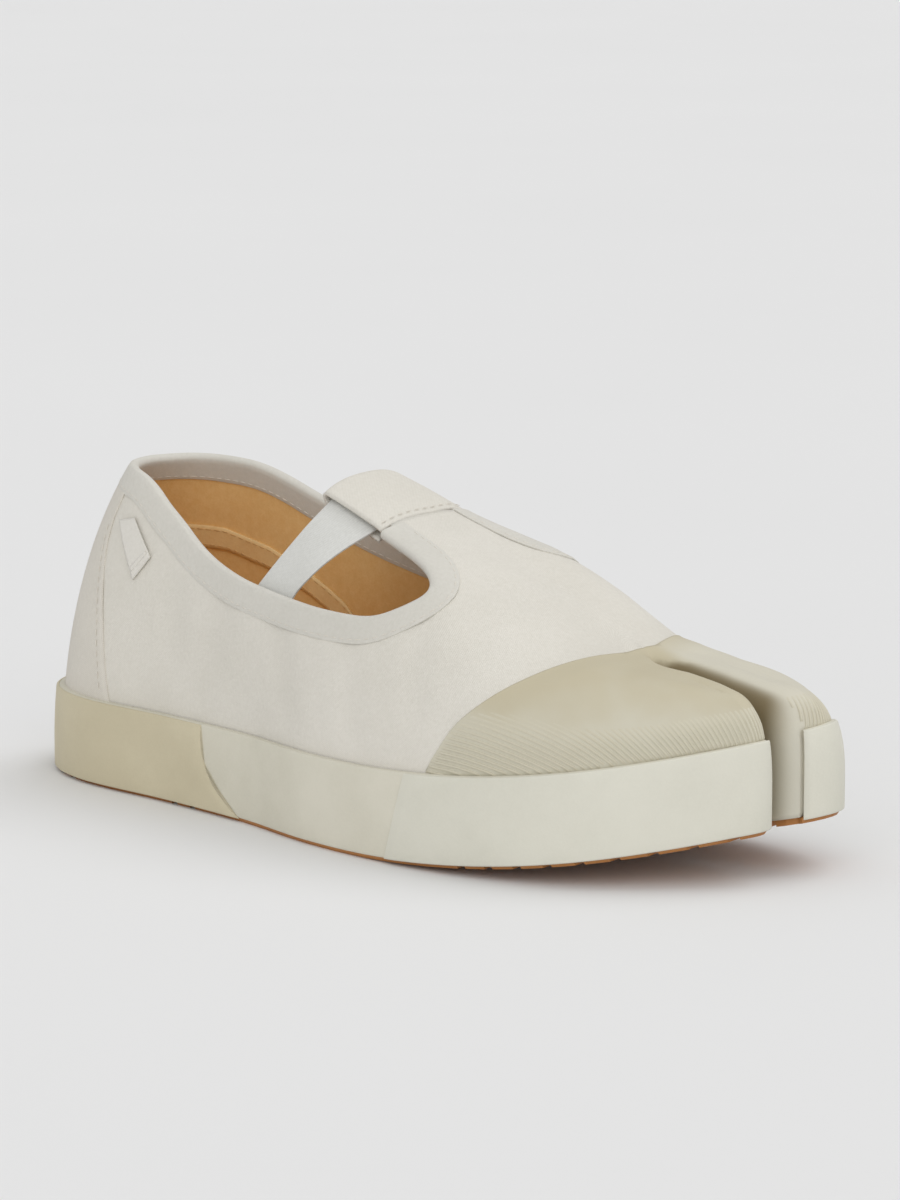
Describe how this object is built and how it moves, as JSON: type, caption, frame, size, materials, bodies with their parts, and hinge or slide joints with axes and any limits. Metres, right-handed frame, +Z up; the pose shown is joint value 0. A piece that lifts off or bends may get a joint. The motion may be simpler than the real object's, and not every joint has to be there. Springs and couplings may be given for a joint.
{
  "type": "split-toe slip-on sneaker",
  "caption": "Low canvas slip-on for the right foot with a toe split off from the rest, a T-shaped vamp held by an elastic strap, a ribbed rubber toe cap and a taped rubber sole.",
  "frame": {"origin": "centre of the bounding box in plan, on the floor plane the sole stands on", "axes": "+X from the heel to the toe, +Y to the medial (big toe) side, +Z up"},
  "size_m": [0.2708, 0.0968, 0.0965],
  "materials": {
    "upper": "matt off-white canvas",
    "toe_cap": "cream moulded rubber, fine lengthwise ribs, satin",
    "outsole": "gum brown, satin",
    "insole": "tan, smooth, lightly worn",
    "foxing": "pale cream-grey, satin",
    "heel_wrap": "khaki, satin",
    "toe_bumper_lateral": "pale cream, satin",
    "toe_bumper_medial": "pale cream, satin",
    "collar_binding": "matt folded tape",
    "strap_loop": "matt off-white canvas",
    "elastic_strap": "matt woven elastic, fine cross ribs",
    "heel_panel": "matt off-white canvas",
    "heel_label": "smooth woven tape, bare"
  },
  "bodies": {
    "root": {"upper": "upper", "toe_cap": "toe_cap", "outsole": "outsole", "insole": "insole", "foxing": "foxing", "heel_wrap": "heel_wrap", "toe_bumper_lateral": "toe_bumper_lateral", "toe_bumper_medial": "toe_bumper_medial", "collar_binding": "collar_binding", "strap_loop": "strap_loop", "elastic_strap": "elastic_strap", "heel_panel": "heel_panel", "heel_label": "heel_label"}
  },
  "joints": []
}
